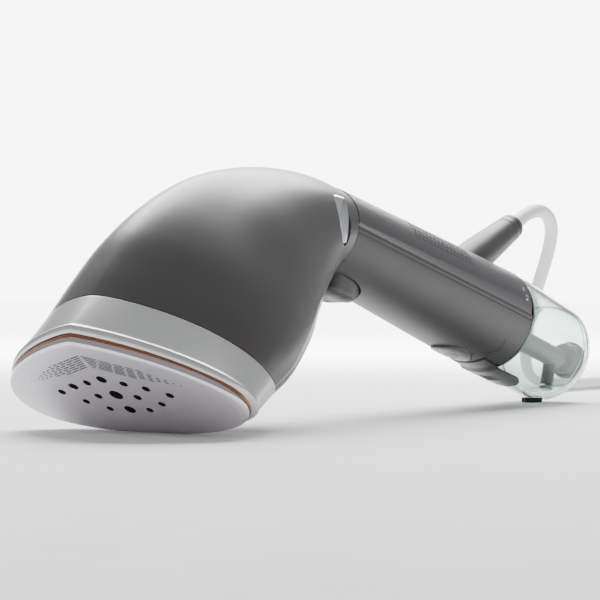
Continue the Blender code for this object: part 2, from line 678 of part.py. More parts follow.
def build_tank(tank):
    """Clear water tank with its lid, suction tube, filter, filler plug and foot."""
    outer = tank_profile()
    wall = 1.8 * MM
    inner = tank_profile(-wall)
    profile = list(reversed(inner)) + outer
    bm = drooped(turned([(TANK_LEN - wall, 0)] + profile + [(TANK_LEN, 0)], 40)[0])
    shell = add("tank_shell", bm, clear_tank(), tank)
    fill = (TANK_LEN, SUPPLY_Y, -2 * MM)
    cut(shell, add("filler_hole", rod(20 * MM, 7.4 * MM, 24, start=-12 * MM), steel(), tank, fill))
    axis = empty("filler_axis", fill, 0, tank)
    bm = turned([(-6 * MM, 0), (-6 * MM, 6.6 * MM), (-5 * MM, 7.1 * MM), (0.3 * MM, 7.1 * MM),
                 (0.3 * MM, 9.0 * MM), (1.2 * MM, 9.0 * MM), (1.8 * MM, 8.2 * MM), (1.8 * MM, 0)], 28)[0]
    add("filler_plug", bm, rubber(), axis)
    lid = add("tank_lid", rod(2 * MM, outer[0][1] - wall - 0.4 * MM, 40, start=2 * MM), dark_grey(), tank)
    cut(lid, add("lid_bore", rod(10 * MM, 5.6 * MM, 24, start=-2 * MM), steel(), tank,
                 (0, SUPPLY_Y, SUPPLY_Z)))
    bm = turned([(1.8 * MM, 0), (1.8 * MM, 5.3 * MM), (4.2 * MM, 5.3 * MM), (4.2 * MM, 4.9 * MM),
                 (56 * MM, 4.9 * MM), (57 * MM, 4.0 * MM), (57 * MM, 0)], 24)[0]
    tube = add("suction_tube", bm, dark_grey(), tank, (0, SUPPLY_Y, SUPPLY_Z))
    cut(tube, add("suction_drop", rod(13.6 * MM, 3.0 * MM, 16), steel(), tank, (50 * MM, SUPPLY_Y, SUPPLY_Z),
                  (0, math.pi / 2, 0)), "UNION")
    add("suction_filter", rod(2.0 * MM, 3.4 * MM, 16, chamfer=0.5 * MM), steel(), tank,
        (50 * MM, SUPPLY_Y, -17.9 * MM), (0, math.pi / 2, 0))
    foot = block((10 * MM, 8 * MM, 3.4 * MM), 0.3 * MM, 2)
    c, d = math.cos(HANDLE_TILT), math.sin(HANDLE_TILT)
    rise = 1.7 * MM - RING_Z
    foot = add("tank_foot", foot, rubber(), tank, (FOOT_X * c - rise * d, 0, FOOT_X * d + rise * c),
               (0, -HANDLE_TILT, 0))
    grown = tank_profile(0.3 * MM)
    bm = drooped(turned([(-1 * MM, 0), (-1 * MM, grown[0][1])] + grown + [(TANK_LEN + 1 * MM, 0)], 40)[0])
    cut(foot, add("foot_hollow", bm, steel(), tank))


def build_lock(head_swivel, shell):
    """Chrome push button on the flank that frees the head's turn, with its spring."""
    centre = (-15.0 * MM, -LOCK_Y, -1.0 * MM)
    outward = (0, 0, -math.pi / 2)
    axis = empty("lock_axis", centre, 0, head_swivel)
    rings = []
    for y, grow in ((3.4, 1.0), (-0.4, 1.0), (-1.5, 0.72), (-1.9, 0.35)):
        rings.append([(5.0 * MM * grow * math.cos(t), y * MM, 9.2 * MM * grow * math.sin(t))
                      for t in full_turn(24)])
    add("lock_button", closed_loft(rings), chrome(), axis)
    rings = []
    for y in (-8, 8):
        rings.append([(5.4 * MM * math.cos(t), y * MM, 9.6 * MM * math.sin(t)) for t in full_turn(24)])
    cut(shell, add("lock_window", closed_loft(rings), steel(), axis))
    spring = coil_spring(7 * MM, 2.0 * MM, 0.3 * MM, 5)
    add("lock_spring", spring, steel(), head_swivel,
        (centre[0] - 1.5 * MM, centre[1] + 3.8 * MM, centre[2]), (0, 0, math.pi / 2))


def build_head_screws(head, rear):
    """Two screws that join the head shells from behind."""
    for k, side in enumerate((-1, 1)):
        place = (22.5 * MM, side * 13 * MM, 40 * MM)
        bm = turned([(0, 0), (0, 2.3 * MM), (-2 * MM, 2.3 * MM), (-2 * MM, 1.2 * MM),
                     (-14 * MM, 1.2 * MM), (-14 * MM, 0)], 16)[0]
        add("head_screw_%d" % (k + 1), bm, steel(), head, place)
        cut(rear, add("head_screw_bore_%d" % (k + 1), rod(20 * MM, 2.7 * MM, 16, start=-6 * MM), steel(),
                      head, place))


def build_cord(handle):
    """Swivelling cord guide, the mains lead, its stored turns and the plug."""
    axis = empty("cord_guide_axis", (GUIDE_S, 0, GUIDE_Q), -GUIDE_LEAN, handle)
    bm = turned([(-8 * MM, 0), (-8 * MM, 8.1 * MM), (-4 * MM, 8.1 * MM), (28 * MM, 6.4 * MM),
                 (30 * MM, 6.3 * MM), (30 * MM, 5.6 * MM), (31.2 * MM, 5.6 * MM), (31.2 * MM, 6.2 * MM),
                 (34 * MM, 5.9 * MM), (35 * MM, 5.2 * MM), (35 * MM, 0)], 28)[0]
    guide = add("cord_guide", bm, dark_grey(), axis)
    cut(guide, add("cord_bore", rod(20 * MM, CORD_D / 2 + GAP, 20, start=24 * MM), steel(), axis))
    route = [(18.2, 0, 79.9), (22.8, 0, 81.9), (29.8, 0.3, 84.6), (40.0, 1.5, 87.9), (54.7, 4, 89.8),
             (70.2, 8, 88.0), (79.5, 11, 83.6), (84.9, 14, 78.5), (89.6, 18, 71.7), (94.0, 23, 63.9),
             (97.5, 28, 55.4), (99.6, 32, 47.0), (101.4, 36, 36.8), (103.4, 39, 25.1), (108.6, 42, 13.4),
             (118.5, 43.7, 5.8), (134, 44, 3.5), (160, 44, 3.5), (190, 44, 3.5), (245, 44, 3.5)]
    path = smooth_path([(RING_X + x * MM, y * MM, z * MM) for x, y, z in route], 7.5 * MM)
    swept_tube("mains_cord", path, CORD_D / 2, white_lead(), None, 2)
    half = 10.0 * MM
    corners = [(COIL_R - half, 3), (COIL_R - half, 17), (COIL_R - half + 3 * MM, 20),
               (COIL_R + half - 3 * MM, 20), (COIL_R + half, 17), (COIL_R + half, 3),
               (COIL_R + half - 3 * MM, 0.2), (COIL_R - half + 3 * MM, 0.2)]
    bm = bmesh.new()
    rows = []
    for t in full_turn(40):
        rows.append([bm.verts.new((r * math.cos(t), r * math.sin(t), z * MM)) for r, z in corners])
    for k in range(len(rows)):
        low, high = rows[k], rows[(k + 1) % len(rows)]
        for i in range(len(corners)):
            j = (i + 1) % len(corners)
            bm.faces.new((low[i], low[j], high[j], high[i]))
    add("cord_coil", bm, white_lead(), None, (*COIL_CENTRE, 0))
    place = (COIL_CENTRE[0] + COIL_R + 6.6 * MM, COIL_CENTRE[1] - 27.5 * MM, 7.4 * MM)
    plug_axis = empty("plug_axis", place, 0)
    plug_axis.rotation_euler = (0, 0, -math.pi / 2)
    rings = []
    for x, a, b in ((0, 4.2, 4.2), (10, 5.5, 5.2), (14, 14, 6.6), (17, 17, 7.0), (33, 17, 7.0),
                    (35, 15.5, 6.2)):
        rings.append([(x * MM, a * MM * math.cos(t), b * MM * math.sin(t)) for t in full_turn(32)])
    add("plug_body", closed_loft(rings), white_lead(), plug_axis)
    for k, side in enumerate((-1, 1)):
        add("plug_pin_%d" % (k + 1), rod(19 * MM, 2.0 * MM, 16, start=35.3 * MM, chamfer=0.6 * MM), steel(),
            plug_axis, (0, side * 9.5 * MM, 0))


def main():
    for obj in list(bpy.data.objects):
        bpy.data.objects.remove(obj, do_unlink=True)
    handle = empty("handle_frame", (RING_X, 0, RING_Z), HANDLE_TILT)
    tank = empty("tank_frame", (0, 0, 0), 0, handle)
    head_swivel = empty("head_swivel_frame", (NECK_S, 0, 0), 0, handle)
    c, d = math.cos(HANDLE_TILT), math.sin(HANDLE_TILT)
    away = HEEL_X - RING_X - NECK_S * c
    down = HEEL_Z - RING_Z + NECK_S * d
    head = empty("head_frame", (away * c - down * d, 0, away * d + down * c), PLATE_TILT - HANDLE_TILT,
                 head_swivel)
    front, rear = build_head_shells(head)
    build_lock(head_swivel, front)
    build_head_screws(head, rear)
    build_bezel(head)
    build_soleplate(head)
    build_gasket(head)
    build_heater(head)
    build_neck(handle, head_swivel)
    build_casings(handle)
    build_screws(handle)
    build_trigger(handle)
    build_button(handle)
    build_handle_works(handle)
    build_latch(handle)
    build_tank(tank)
    build_cord(handle)


main()
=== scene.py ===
"""A hand-held garment steamer standing on its heel and its tank foot, ready for the camera."""
import json
import math

import bmesh
import bpy
from mathutils import Matrix, Vector


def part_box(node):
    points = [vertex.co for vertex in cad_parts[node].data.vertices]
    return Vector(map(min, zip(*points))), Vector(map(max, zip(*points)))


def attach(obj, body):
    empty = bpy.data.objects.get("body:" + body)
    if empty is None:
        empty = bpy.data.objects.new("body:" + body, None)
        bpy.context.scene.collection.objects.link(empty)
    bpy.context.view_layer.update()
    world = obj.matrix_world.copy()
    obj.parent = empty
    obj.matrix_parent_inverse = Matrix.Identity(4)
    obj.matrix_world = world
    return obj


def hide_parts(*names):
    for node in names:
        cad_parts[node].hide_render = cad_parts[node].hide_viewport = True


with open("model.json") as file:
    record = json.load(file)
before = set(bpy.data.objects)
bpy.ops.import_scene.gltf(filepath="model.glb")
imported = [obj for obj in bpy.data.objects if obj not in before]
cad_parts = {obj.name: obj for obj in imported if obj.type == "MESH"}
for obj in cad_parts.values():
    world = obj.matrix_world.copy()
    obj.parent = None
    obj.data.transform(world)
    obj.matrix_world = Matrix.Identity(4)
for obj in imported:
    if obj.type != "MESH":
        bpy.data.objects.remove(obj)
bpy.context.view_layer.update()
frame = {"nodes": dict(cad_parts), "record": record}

# --- Camera ------------------------------------------------------------------------------
# A long lens, level with the neck, looking along the handle from beside the steam head.
MM = 0.001
camera = bpy.data.objects.new("camera", bpy.data.cameras.new("camera"))
bpy.context.collection.objects.link(camera)
back = Vector((-0.8172, -0.5763, 0.0035)).normalized()
right = Vector((0.5763, -0.8172, 0.0)).normalized()
camera.matrix_world = Matrix.Translation(Vector((-789.2, -530.2, 51.5)) * MM) @ Matrix(
    (right, back.cross(right), back)).transposed().to_4x4()
camera.data.sensor_width = 36.0
camera.data.lens = 138.0
camera.data.clip_end = 20.0
bpy.context.scene.camera = camera

# --- Mains lead --------------------------------------------------------------------------
# Two metres of white round flex from the swivelling guide to the plug. It springs up in a loop,
# runs down behind the tank to the table, and its spare length is wound in a tied coil.
joints = {joint["name"]: joint for joint in frame["record"]["behaviour"]["joints"]}
HANDLE_TILT = math.radians(15.6)
neck = Vector(joints["head_swivel"]["pos_m"])
along = Vector((math.cos(HANDLE_TILT), 0, -math.sin(HANDLE_TILT)))
upward = Vector((math.sin(HANDLE_TILT), 0, math.cos(HANDLE_TILT)))
HANDLE_LEN = 137.2 * MM
ring = neck + along * HANDLE_LEN
CORD_D = 6.4 * MM
COIL_CENTRE = Vector((379.0, 1.4)) * MM
LAYS = [(42.6, 3.4), (36.0, 3.4), (29.4, 3.4), (29.4, 10.0), (36.0, 10.0), (36.0, 16.6), (42.6, 10.0),
        (42.6, 9.4)]
TURNS = 7.25
TURN_POINTS = 20


def fine(name, colour, roughness, metallic=0.0, grain=2600.0, relief=0.12, patch=0.06, painted_highlight=0.0,
         **constants):
    """A moulded or pressed finish: fine grain, faint patches and a slightly uneven gloss. Where the
    mesh carries a painted-highlight mask, the colour is lifted by up to the given share: a painted highlight."""
    mat = bpy.data.materials.new(name)
    mat.use_nodes = True
    tree = mat.node_tree
    shader = tree.nodes["Principled BSDF"]
    shader.inputs["Metallic"].default_value = metallic
    for socket, value in constants.items():
        shader.inputs[socket.replace("_", " ")].default_value = value
    place = Signal(tree).node("ShaderNodeTexCoord", "Object")
    speckle = place.node("ShaderNodeTexNoise", 0, Vector=place, Scale=grain, Detail=2.0)
    cloud = place.node("ShaderNodeTexNoise", 0, Vector=place, Scale=38.0, Detail=3.0)
    shade = 1.0 + (cloud - 0.5) * patch * 2 + (speckle - 0.5) * patch
    # Painted highlight: the colour is lifted wherever the mesh's highlight mask is set.
    if painted_highlight:
        shade = shade * (1.0 + place.node("ShaderNodeAttribute", "Fac", {"attribute_name": "painted_highlight"}) * painted_highlight)
    tint = place.node("ShaderNodeVectorMath", "Vector", settings={"operation": "SCALE"},
                      Vector=(*colour,), Scale=shade)
    tree.links.new(tint.socket, shader.inputs["Base Color"])
    gloss = roughness * (1.0 + (cloud - 0.5) * 0.35 + (speckle - 0.5) * 0.2)
    tree.links.new(gloss.socket, shader.inputs["Roughness"])
    bump = place.node("ShaderNodeBump", "Normal", Height=speckle, Strength=relief, Distance=0.00006)
    tree.links.new(bump.socket, shader.inputs["Normal"])
    return mat


class Signal:
    """A shader output that Python arithmetic can be done on."""

    def __init__(self, tree, socket=None):
        self.tree = tree
        self.socket = socket

    def node(self, kind, out, settings=None, **sockets):
        made = self.tree.nodes.new(kind)
        for key, value in (settings or {}).items():
            setattr(made, key, value)
        for key, value in sockets.items():
            entry = made.inputs[int(key[1:]) if key[0] == "_" else key.replace("_", " ")]
            if isinstance(value, Signal):
                self.tree.links.new(value.socket, entry)
            else:
                entry.default_value = value
        return Signal(self.tree, made.outputs[out])

    def math(self, operation, first, second):
        return self.node("ShaderNodeMath", 0, {"operation": operation}, _0=first, _1=second)

    def __add__(self, other):
        return self.math("ADD", self, other)

    def __sub__(self, other):
        return self.math("SUBTRACT", self, other)

    def __mul__(self, other):
        return self.math("MULTIPLY", self, other)

    def __radd__(self, other):
        return self.math("ADD", other, self)

    def __rsub__(self, other):
        return self.math("SUBTRACT", other, self)

    def __rmul__(self, other):
        return self.math("MULTIPLY", other, self)


def smooth_path(points, step):
    """Points at an even step along a smooth curve through the given ones."""
    pts = [Vector(p) for p in points]
    pts = [pts[0] * 2 - pts[1]] + pts + [pts[-1] * 2 - pts[-2]]
    dense = []
    for a, b, c, d in zip(pts, pts[1:], pts[2:], pts[3:]):
        for k in range(24):
            t = k / 24
            dense.append(0.5 * (2 * b + (c - a) * t + (2 * a - 5 * b + 4 * c - d) * t ** 2
                                + (3 * b - a - 3 * c + d) * t ** 3))
    dense.append(pts[-2])
    total = sum((q - p).length for p, q in zip(dense, dense[1:]))
    count = max(2, round(total / step))
    even = [dense[0]]
    walked = 0.0
    for p, q in zip(dense, dense[1:]):
        length = (q - p).length
        while len(even) < count and walked + length >= total / count * len(even):
            even.append(p.lerp(q, (total / count * len(even) - walked) / length))
        walked += length
    return even + [dense[-1]]


route = [(18.2, 0, 79.9), (22.8, 0, 81.9), (29.8, 0.3, 84.6), (40.0, 1.5, 87.9), (54.7, 4, 89.8),
         (70.2, 8, 88.0), (79.5, 11, 83.6), (84.9, 14, 78.5), (89.6, 18, 71.7), (94.0, 23, 63.9),
         (97.5, 28, 55.4), (99.6, 32, 47.0), (101.4, 36, 36.8), (103.4, 39, 25.1), (108.6, 42, 13.4),
         (118.5, 43.7, 5.8), (134, 44, 3.5), (160, 44, 3.5), (190, 44, 3.5), (245, 44, 3.5)]
path = smooth_path([(ring.x + x * MM, y * MM, z * MM) for x, y, z in route], 9.5 * MM)
for step in range(1, int(TURNS * TURN_POINTS) + 1):
    turn = step / TURN_POINTS
    lay = int(turn)
    shift = max(0.0, (turn - lay - 0.72) / 0.28)
    shift = shift * shift * (3 - 2 * shift)
    here, after = LAYS[lay], LAYS[min(lay + 1, len(LAYS) - 1)]
    radius = (here[0] + (after[0] - here[0]) * shift) * MM
    height = (here[1] + (after[1] - here[1]) * shift) * MM
    angle = math.pi / 2 - turn * 2 * math.pi
    path.append(Vector((COIL_CENTRE.x + radius * math.cos(angle), COIL_CENTRE.y + radius * math.sin(angle),
                        height)))
path += [Vector((421.6, -12.0, 8.2)) * MM, Vector((421.6, -26.4, 7.4)) * MM]
curve = bpy.data.curves.new("lead", "CURVE")
curve.dimensions = "3D"
curve.bevel_depth = CORD_D / 2
curve.bevel_resolution = 5
curve.use_fill_caps = True
curve.resolution_u = 5
spline = curve.splines.new("BEZIER")
spline.bezier_points.add(len(path) - 1)
for knot, point in zip(spline.bezier_points, path):
    knot.co = point
    knot.handle_left_type = "AUTO"
    knot.handle_right_type = "AUTO"
lead = bpy.data.objects.new("lead", curve)
bpy.context.collection.objects.link(lead)
white_flex = fine("white_flex", (0.80, 0.80, 0.79), 0.42, grain=1500.0, relief=0.1, patch=0.02)
curve.materials.append(white_flex)


def finish_piece(name, bm, material, sharp=35.0):
    """Turns a bmesh into a shaded object that stays where its mesh is."""
    mesh = bpy.data.meshes.new(name)
    bm.to_mesh(mesh)
    bm.free()
    mesh.materials.append(material)
    mesh.shade_smooth()
    mesh.set_sharp_from_angle(angle=math.radians(sharp))
    obj = bpy.data.objects.new(name, mesh)
    bpy.context.collection.objects.link(obj)
    return obj


bm = bmesh.new()
bmesh.ops.create_circle(bm, segments=40, radius=1.0)
for vert in bm.verts:
    side = 10.3 * MM / max(abs(vert.co.x), abs(vert.co.y)) ** 0.82
    vert.co = Vector((0, vert.co.x * side + 36 * MM, vert.co.y * side + 10.4 * MM))
band = bmesh.ops.extrude_edge_only(bm, edges=bm.edges[:])
bmesh.ops.translate(bm, verts=[v for v in band["geom"] if isinstance(v, bmesh.types.BMVert)],
                    vec=(9 * MM, 0, 0))
bmesh.ops.recalc_face_normals(bm, faces=bm.faces)
bmesh.ops.solidify(bm, geom=bm.faces, thickness=-0.9 * MM)
bmesh.ops.rotate(bm, verts=bm.verts, cent=(0, 0, 0), matrix=Matrix.Rotation(math.radians(200), 3, "Z"))
bmesh.ops.translate(bm, verts=bm.verts, vec=(*COIL_CENTRE, 0))
bmesh.ops.recalc_face_normals(bm, faces=bm.faces)
tie = finish_piece("lead_tie", bm, fine("tie_rubber", (0.03, 0.03, 0.03), 0.7, grain=900.0))
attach(tie, "handle")
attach(lead, "handle")
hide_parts("mains_cord", "cord_coil")
guide_tip = ring + along * (-16.8 * MM) + upward * (25.0 * MM)
guide_lean = math.radians(38.7)
guide_way = along * math.cos(guide_lean) + upward * math.sin(guide_lean)
guide_tip = guide_tip + guide_way * (35.0 * MM)

# --- Table and light ---------------------------------------------------------------------
# A seamless white table under soft daylight panels, so that the metal has something pale to
# reflect and the casing's curves shade gently.
paper = fine("white_table", (0.9, 0.9, 0.9), 0.9, grain=300.0, relief=0.0, patch=0.0,
             Emission_Strength=1.0)
AWAY = (0.8172, 0.5763, 0.0)
spot = Signal(paper.node_tree).node("ShaderNodeTexCoord", "Object")
reach = spot.node("ShaderNodeVectorMath", "Value", {"operation": "LENGTH"}, _0=spot)
onward = spot.node("ShaderNodeVectorMath", "Value", {"operation": "DOT_PRODUCT"}, _0=spot,
                   _1=AWAY)
far = reach.node("ShaderNodeMapRange", 0, {"interpolation_type": "SMOOTHSTEP"}, Value=reach, From_Min=0.3,
                 From_Max=1.1, To_Min=0.0, To_Max=6.5)
sector = reach.node("ShaderNodeMapRange", 0, {"interpolation_type": "SMOOTHSTEP"},
                    Value=onward.math("DIVIDE", onward, reach), From_Min=0.84, From_Max=0.95, To_Min=0.0,
                    To_Max=1.0)
glow = far * sector
paper.node_tree.links.new(glow.socket, paper.node_tree.nodes["Principled BSDF"].inputs["Emission Color"])
bm = bmesh.new()
bmesh.ops.create_grid(bm, x_segments=2, y_segments=2, size=9.0)
table = finish_piece("table", bm, paper)
world = bpy.data.worlds.new("studio")
world.use_nodes = True
sky = Signal(world.node_tree).node("ShaderNodeTexCoord", "Generated")
ahead = sky.node("ShaderNodeVectorMath", "Value", {"operation": "DOT_PRODUCT"}, _0=sky,
                 _1=AWAY)
screen = sky.node("ShaderNodeMapRange", 0, {"interpolation_type": "SMOOTHSTEP"}, Value=ahead,
                  From_Min=0.93, From_Max=0.975, To_Min=0.44, To_Max=8.0)
world.node_tree.nodes["Background"].inputs["Color"].default_value = (1.0, 1.0, 1.0, 1.0)
world.node_tree.links.new(screen.socket, world.node_tree.nodes["Background"].inputs["Strength"])
bpy.context.scene.world = world


def panel(name, place, target, size, watts):
    """A soft rectangular light aimed at a point."""
    light = bpy.data.lights.new(name, "AREA")
    light.shape = "RECTANGLE"
    light.size = size[0]
    light.size_y = size[1]
    light.energy = watts
    lamp = bpy.data.objects.new(name, light)
    bpy.context.collection.objects.link(lamp)
    lamp.location = place
    lamp.rotation_euler = (Vector(target) - Vector(place)).to_track_quat("-Z", "Y").to_euler()


panel("back_panel", (0.75, 0.55, 1.15), (0.02, 0, 0.05), (1.5, 1.1), 84.0)

# --- Soleplate ---------------------------------------------------------------------------
# A pressed metal plate with a rounded, polished edge and fifteen dished steam holes. It is
# screwed to the steam chamber behind it.
PLATE_TILT = math.radians(35.3)
down_plate = Vector((math.cos(PLATE_TILT), 0, -math.sin(PLATE_TILT)))
off_plate = Vector((math.sin(PLATE_TILT), 0, math.cos(PLATE_TILT)))
face_mount = next(m for m in frame["record"]["mounts"] if m["name"] == "soleplate_face")
heel = Vector(face_mount["pos_m"]) + down_plate * (8.0 * MM)


def head_point(x, y, z):
    """A point of the steam head: x from the heel, y to the side, z above the plate's face."""
    return heel + down_plate * x + Vector((0, y, 0)) + off_plate * z


def shield(xi, blunt):
    """Half width of the shield outline at xi, from -1 at the heel to 1 at the tip."""
    if xi > -0.25:
        return max(0.0, 1 - ((xi + 0.25) / 1.25) ** (1.75 + 0.15 * blunt)) ** (0.8 - 0.15 * blunt)
    return max(0.0, 1 - (-(xi + 0.25) / 0.75) ** 2.5) ** 0.4


def section_point(front, rear, half_width, roundness, angle, inset=0.0, blunt=1.0):
    """A point of a head section between a front and a rear point (x, z), at an angle."""
    middle = ((front[0] + rear[0]) / 2, (front[1] + rear[1]) / 2)
    half = ((front[0] - rear[0]) / 2, (front[1] - rear[1]) / 2)
    shrink = 1 - inset / math.hypot(*half)
    xi = max(math.cos(angle), -0.985)
    flat = shield(xi, blunt)
    eta = flat + (abs(math.sin(angle)) - flat) * roundness
    side = math.copysign(eta, math.sin(angle)) * (half_width - inset)
    return head_point(middle[0] + half[0] * shrink * xi, side, middle[1] + half[1] * shrink * xi)


def plate_point(angle, z, inset):
    return section_point((-59 * MM, z), (1 * MM, z), 52.4 * MM, 0.0, angle, inset, 0.0)


def skin(shape, across, lengthwise, painted_highlight=None):
    """A warped grid: shape turns (0..1, 0..1) into a point. Its seam, if any, is closed."""
    bm = bmesh.new()
    bmesh.ops.create_grid(bm, x_segments=across, y_segments=lengthwise, size=0.5)
    # The optional mask stored here is a painted highlight that lifts the colour.
    layer = bm.verts.layers.float.new("painted_highlight") if painted_highlight else None
    for vert in bm.verts:
        u, v = vert.co.x + 0.5, vert.co.y + 0.5
        vert.co = shape(u, v)
        if painted_highlight:
            vert[layer] = painted_highlight(u, v)
    bmesh.ops.remove_doubles(bm, verts=bm.verts, dist=1e-6)
    bmesh.ops.recalc_face_normals(bm, faces=bm.faces)
    middle = sum((v.co for v in bm.verts), Vector()) / len(bm.verts)
    if sum(f.normal.dot(f.calc_center_median() - middle) * f.calc_area() for f in bm.faces) < 0:
        bmesh.ops.reverse_faces(bm, faces=bm.faces)
    return bm


def bake_shape(obj, sharp=35.0):
    """Applies an object's modifiers to its mesh."""
    material = obj.data.materials[0]
    graph = bpy.context.evaluated_depsgraph_get()
    mesh = bpy.data.meshes.new_from_object(obj.evaluated_get(graph))
    obj.modifiers.clear()
    obj.data = mesh
    mesh.materials.clear()
    mesh.materials.append(material)
    mesh.shade_smooth()
    mesh.set_sharp_from_angle(angle=math.radians(sharp))


def carve(obj, bm, sharp=35.0, operation="DIFFERENCE"):
    """Takes a cutter's shape out of a closed piece."""
    bmesh.ops.recalc_face_normals(bm, faces=bm.faces)
    cutter = finish_piece("cutter", bm, obj.data.materials[0])
    mod = obj.modifiers.new("carve", "BOOLEAN")
    mod.operation = operation
    mod.solver = "EXACT"
    mod.object = cutter
    bake_shape(obj, sharp)
    bpy.data.objects.remove(cutter, do_unlink=True)


def thicken(obj, wall, round_off=0.0, sharp=35.0):
    """Gives a skin its wall, inwards, and rounds its rims."""
    mod = obj.modifiers.new("wall", "SOLIDIFY")
    mod.thickness = wall
    mod.offset = -1.0
    mod.use_even_offset = False
    if round_off:
        soft = obj.modifiers.new("rim", "BEVEL")
        soft.width = round_off
        soft.segments = 2
        soft.limit_method = "ANGLE"
        soft.angle_limit = math.radians(50)
        soft.harden_normals = False
    bake_shape(obj, sharp)


levels = [(3.2, 0.2), (2.6, 0.0), (1.9, 0.05), (1.3, 0.3), (0.75, 0.75), (0.35, 1.25), (0.1, 1.8),
          (0.0, 2.5)]
bm = bmesh.new()
rims = []
for z, inset in levels:
    circle = bmesh.ops.create_circle(bm, segments=200, radius=1.0)["verts"]
    for k, vert in enumerate(circle):
        vert.co = plate_point(2 * math.pi * k / 200, z * MM, inset * MM)
    rims.append({e for v in circle for e in v.link_edges})
for low, high in zip(rims, rims[1:]):
    bmesh.ops.bridge_loops(bm, edges=list(low | high))
for rim in (rims[0], rims[-1]):
    bmesh.ops.contextual_create(bm, geom=list(rim))
bmesh.ops.recalc_face_normals(bm, faces=bm.faces)
plate_finish = fine("lilac_plate_metal", (0.62, 0.59, 0.635), 0.42, 0.3, grain=1800.0, relief=0.06,
                    patch=0.03)
plate = finish_piece("soleplate_skin", bm, plate_finish, 50.0)
holes = [(-36.2, 0.0, 2.3), (-26.2, 0.0, 3.0), (-16.6, 0.0, 2.5)]
for side in (1, -1):
    holes += [(x, side * y, r) for x, y, r in ((-33.7, 8.5, 1.8), (-30.8, 16.8, 1.8), (-27.0, 25.1, 1.8),
                                               (-25.0, 9.1, 1.8), (-21.0, 17.6, 1.6), (-16.7, 9.3, 1.6))]
turn_plate = Matrix((down_plate, Vector((0, 1, 0)), off_plate)).transposed().to_4x4()
bm = bmesh.new()
for x, y, r in holes:
    for low, high, wide, narrow in ((-0.5, 0.75, r * 1.42, r * 1.0), (-0.4, 9.0, r * 0.92, r * 0.92)):
        seat = Matrix.Translation(head_point(x * MM, y * MM, (low + high) / 2 * MM)) @ turn_plate
        bmesh.ops.create_cone(bm, cap_ends=True, segments=28, radius1=wide * MM, radius2=narrow * MM,
                              depth=(high - low) * MM, matrix=seat)
carve(plate, bm, 40.0)
# The walls of the steam holes are painted near-black: painted shade for the dark inside of the holes.
plate.data.materials.append(fine("painted_hole_shade", (0.02, 0.02, 0.022), 0.5, 0.3, grain=800.0))
plate.data.materials.append(fine("polished_rim", (0.62, 0.60, 0.63), 0.12, 1.0, grain=800.0, relief=0.02))
for face in plate.data.polygons:
    spot = face.center - heel
    x, y, z = spot.dot(down_plate) / MM, spot.y / MM, spot.dot(off_plate) / MM
    # Faces on the hole walls take the painted hole shade.
    if z > 0.72 and min(math.hypot(x - hx, y - hy) - hr for hx, hy, hr in holes) < 0.05:
        face.material_index = 1
    elif 0.3 < z < 3.1 and abs(face.normal.dot(off_plate)) < 0.9:
        face.material_index = 2
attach(plate, "head")
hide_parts("soleplate")

# --- Printed dashes ----------------------------------------------------------------------
# A grey screen print on the plate: rows of dashes beside the two edges of the tip, long by the
# apex and breaking up into dots outwards, with a slim plain line across the right-hand rows.
print_ink = fine("grey_print", (0.075, 0.083, 0.088), 0.6, grain=1200.0, relief=0.02)
bm = bmesh.new()
for side in (1, -1):
    way = Vector((0.42, side)).normalized()
    for row, reach_end in enumerate((19.2, 24.4, 28.6, 34.1, 27.5, 20.0, 12.0)):
        start = Vector((-51.3 + 1.16 * row, side * (0.5 + 0.12 * row)))
        limit = (reach_end + (1.5 if side < 0 else 0.0)) / way.y * side
        reach = 0.0 if row % 2 == 0 else -1.6
        while reach < limit:
            spread = reach / 40.0
            dash = (4.6 if side > 0 else 5.6) * (1 - spread) ** 1.8 + 0.75
            gap = 0.6 + 1.5 * spread
            split = 2.2 + 0.75 * (6 - row) if side < 0 else -9.0
            if reach < split < reach + dash:
                dash = max(0.6, split - reach - 0.35)
                gap = 0.7
            if reach < 0:
                dash, reach = dash + reach, 0.0
            middle = start + way * (reach + dash / 2)
            quad = bmesh.ops.create_grid(bm, x_segments=1, y_segments=1, size=0.5)["verts"]
            for vert in quad:
                flat = middle + way * (vert.co.x * dash) + Vector((way.y, -way.x)) * (vert.co.y * 0.6)
                vert.co = head_point(flat.x * MM, flat.y * MM, -0.03 * MM)
            reach += dash + gap
for face in bm.faces:
    face.normal_update()
    if face.normal.dot(off_plate) > 0:
        face.normal_flip()
marks = finish_piece("plate_print", bm, print_ink)
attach(marks, "head")

# --- Insulating ring ---------------------------------------------------------------------
# A copper-coloured heat-proof ring that shows as a hairline between the plate and the band.
bm = skin(lambda u, v: plate_point(2 * math.pi * u, (3.25 + 1.0 * v) * MM, -0.25 * MM), 200, 1)
copper_ring = finish_piece("copper_ring", bm, fine("copper_ring", (0.26, 0.11, 0.06), 0.35, 0.5))
thicken(copper_ring, 4.0 * MM)
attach(copper_ring, "head")
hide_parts("insulating_ring")

# --- Silver band -------------------------------------------------------------------------
# A satin silver moulding that flares from the plate to the head's casing, creased at the tip,
# with a rolled lip along the plate. Hooks inside it snap into the casing.
def band_point(u, v):
    z = 4.9 + 16.6 * v - 1.0 * max(0.0, 1 - v / 0.05)
    lip = 1.3 * (1 - min(1.0, v / 0.05)) ** 2
    ridge = 0.45 * math.exp(-((v - 0.085) / 0.035) ** 2)
    front = ((-61.4 + 3.8 * v + lip - ridge) * MM, z * MM)
    rear = ((3.2 + 11.8 * v - lip + ridge) * MM, z * MM)
    return section_point(front, rear, (53.6 - 4.8 * v - lip + ridge) * MM, 0.0, 2 * math.pi * u, 0.0, v)


bm = skin(band_point, 220, 60)
silver_finish = fine("satin_silver_paint", (0.56, 0.57, 0.575), 0.33, 0.75, grain=3200.0, relief=0.05,
                     patch=0.02)
band = finish_piece("silver_band", bm, silver_finish, 50.0)
thicken(band, 1.9 * MM, 0.25 * MM, 50.0)
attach(band, "head")
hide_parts("bezel_band")
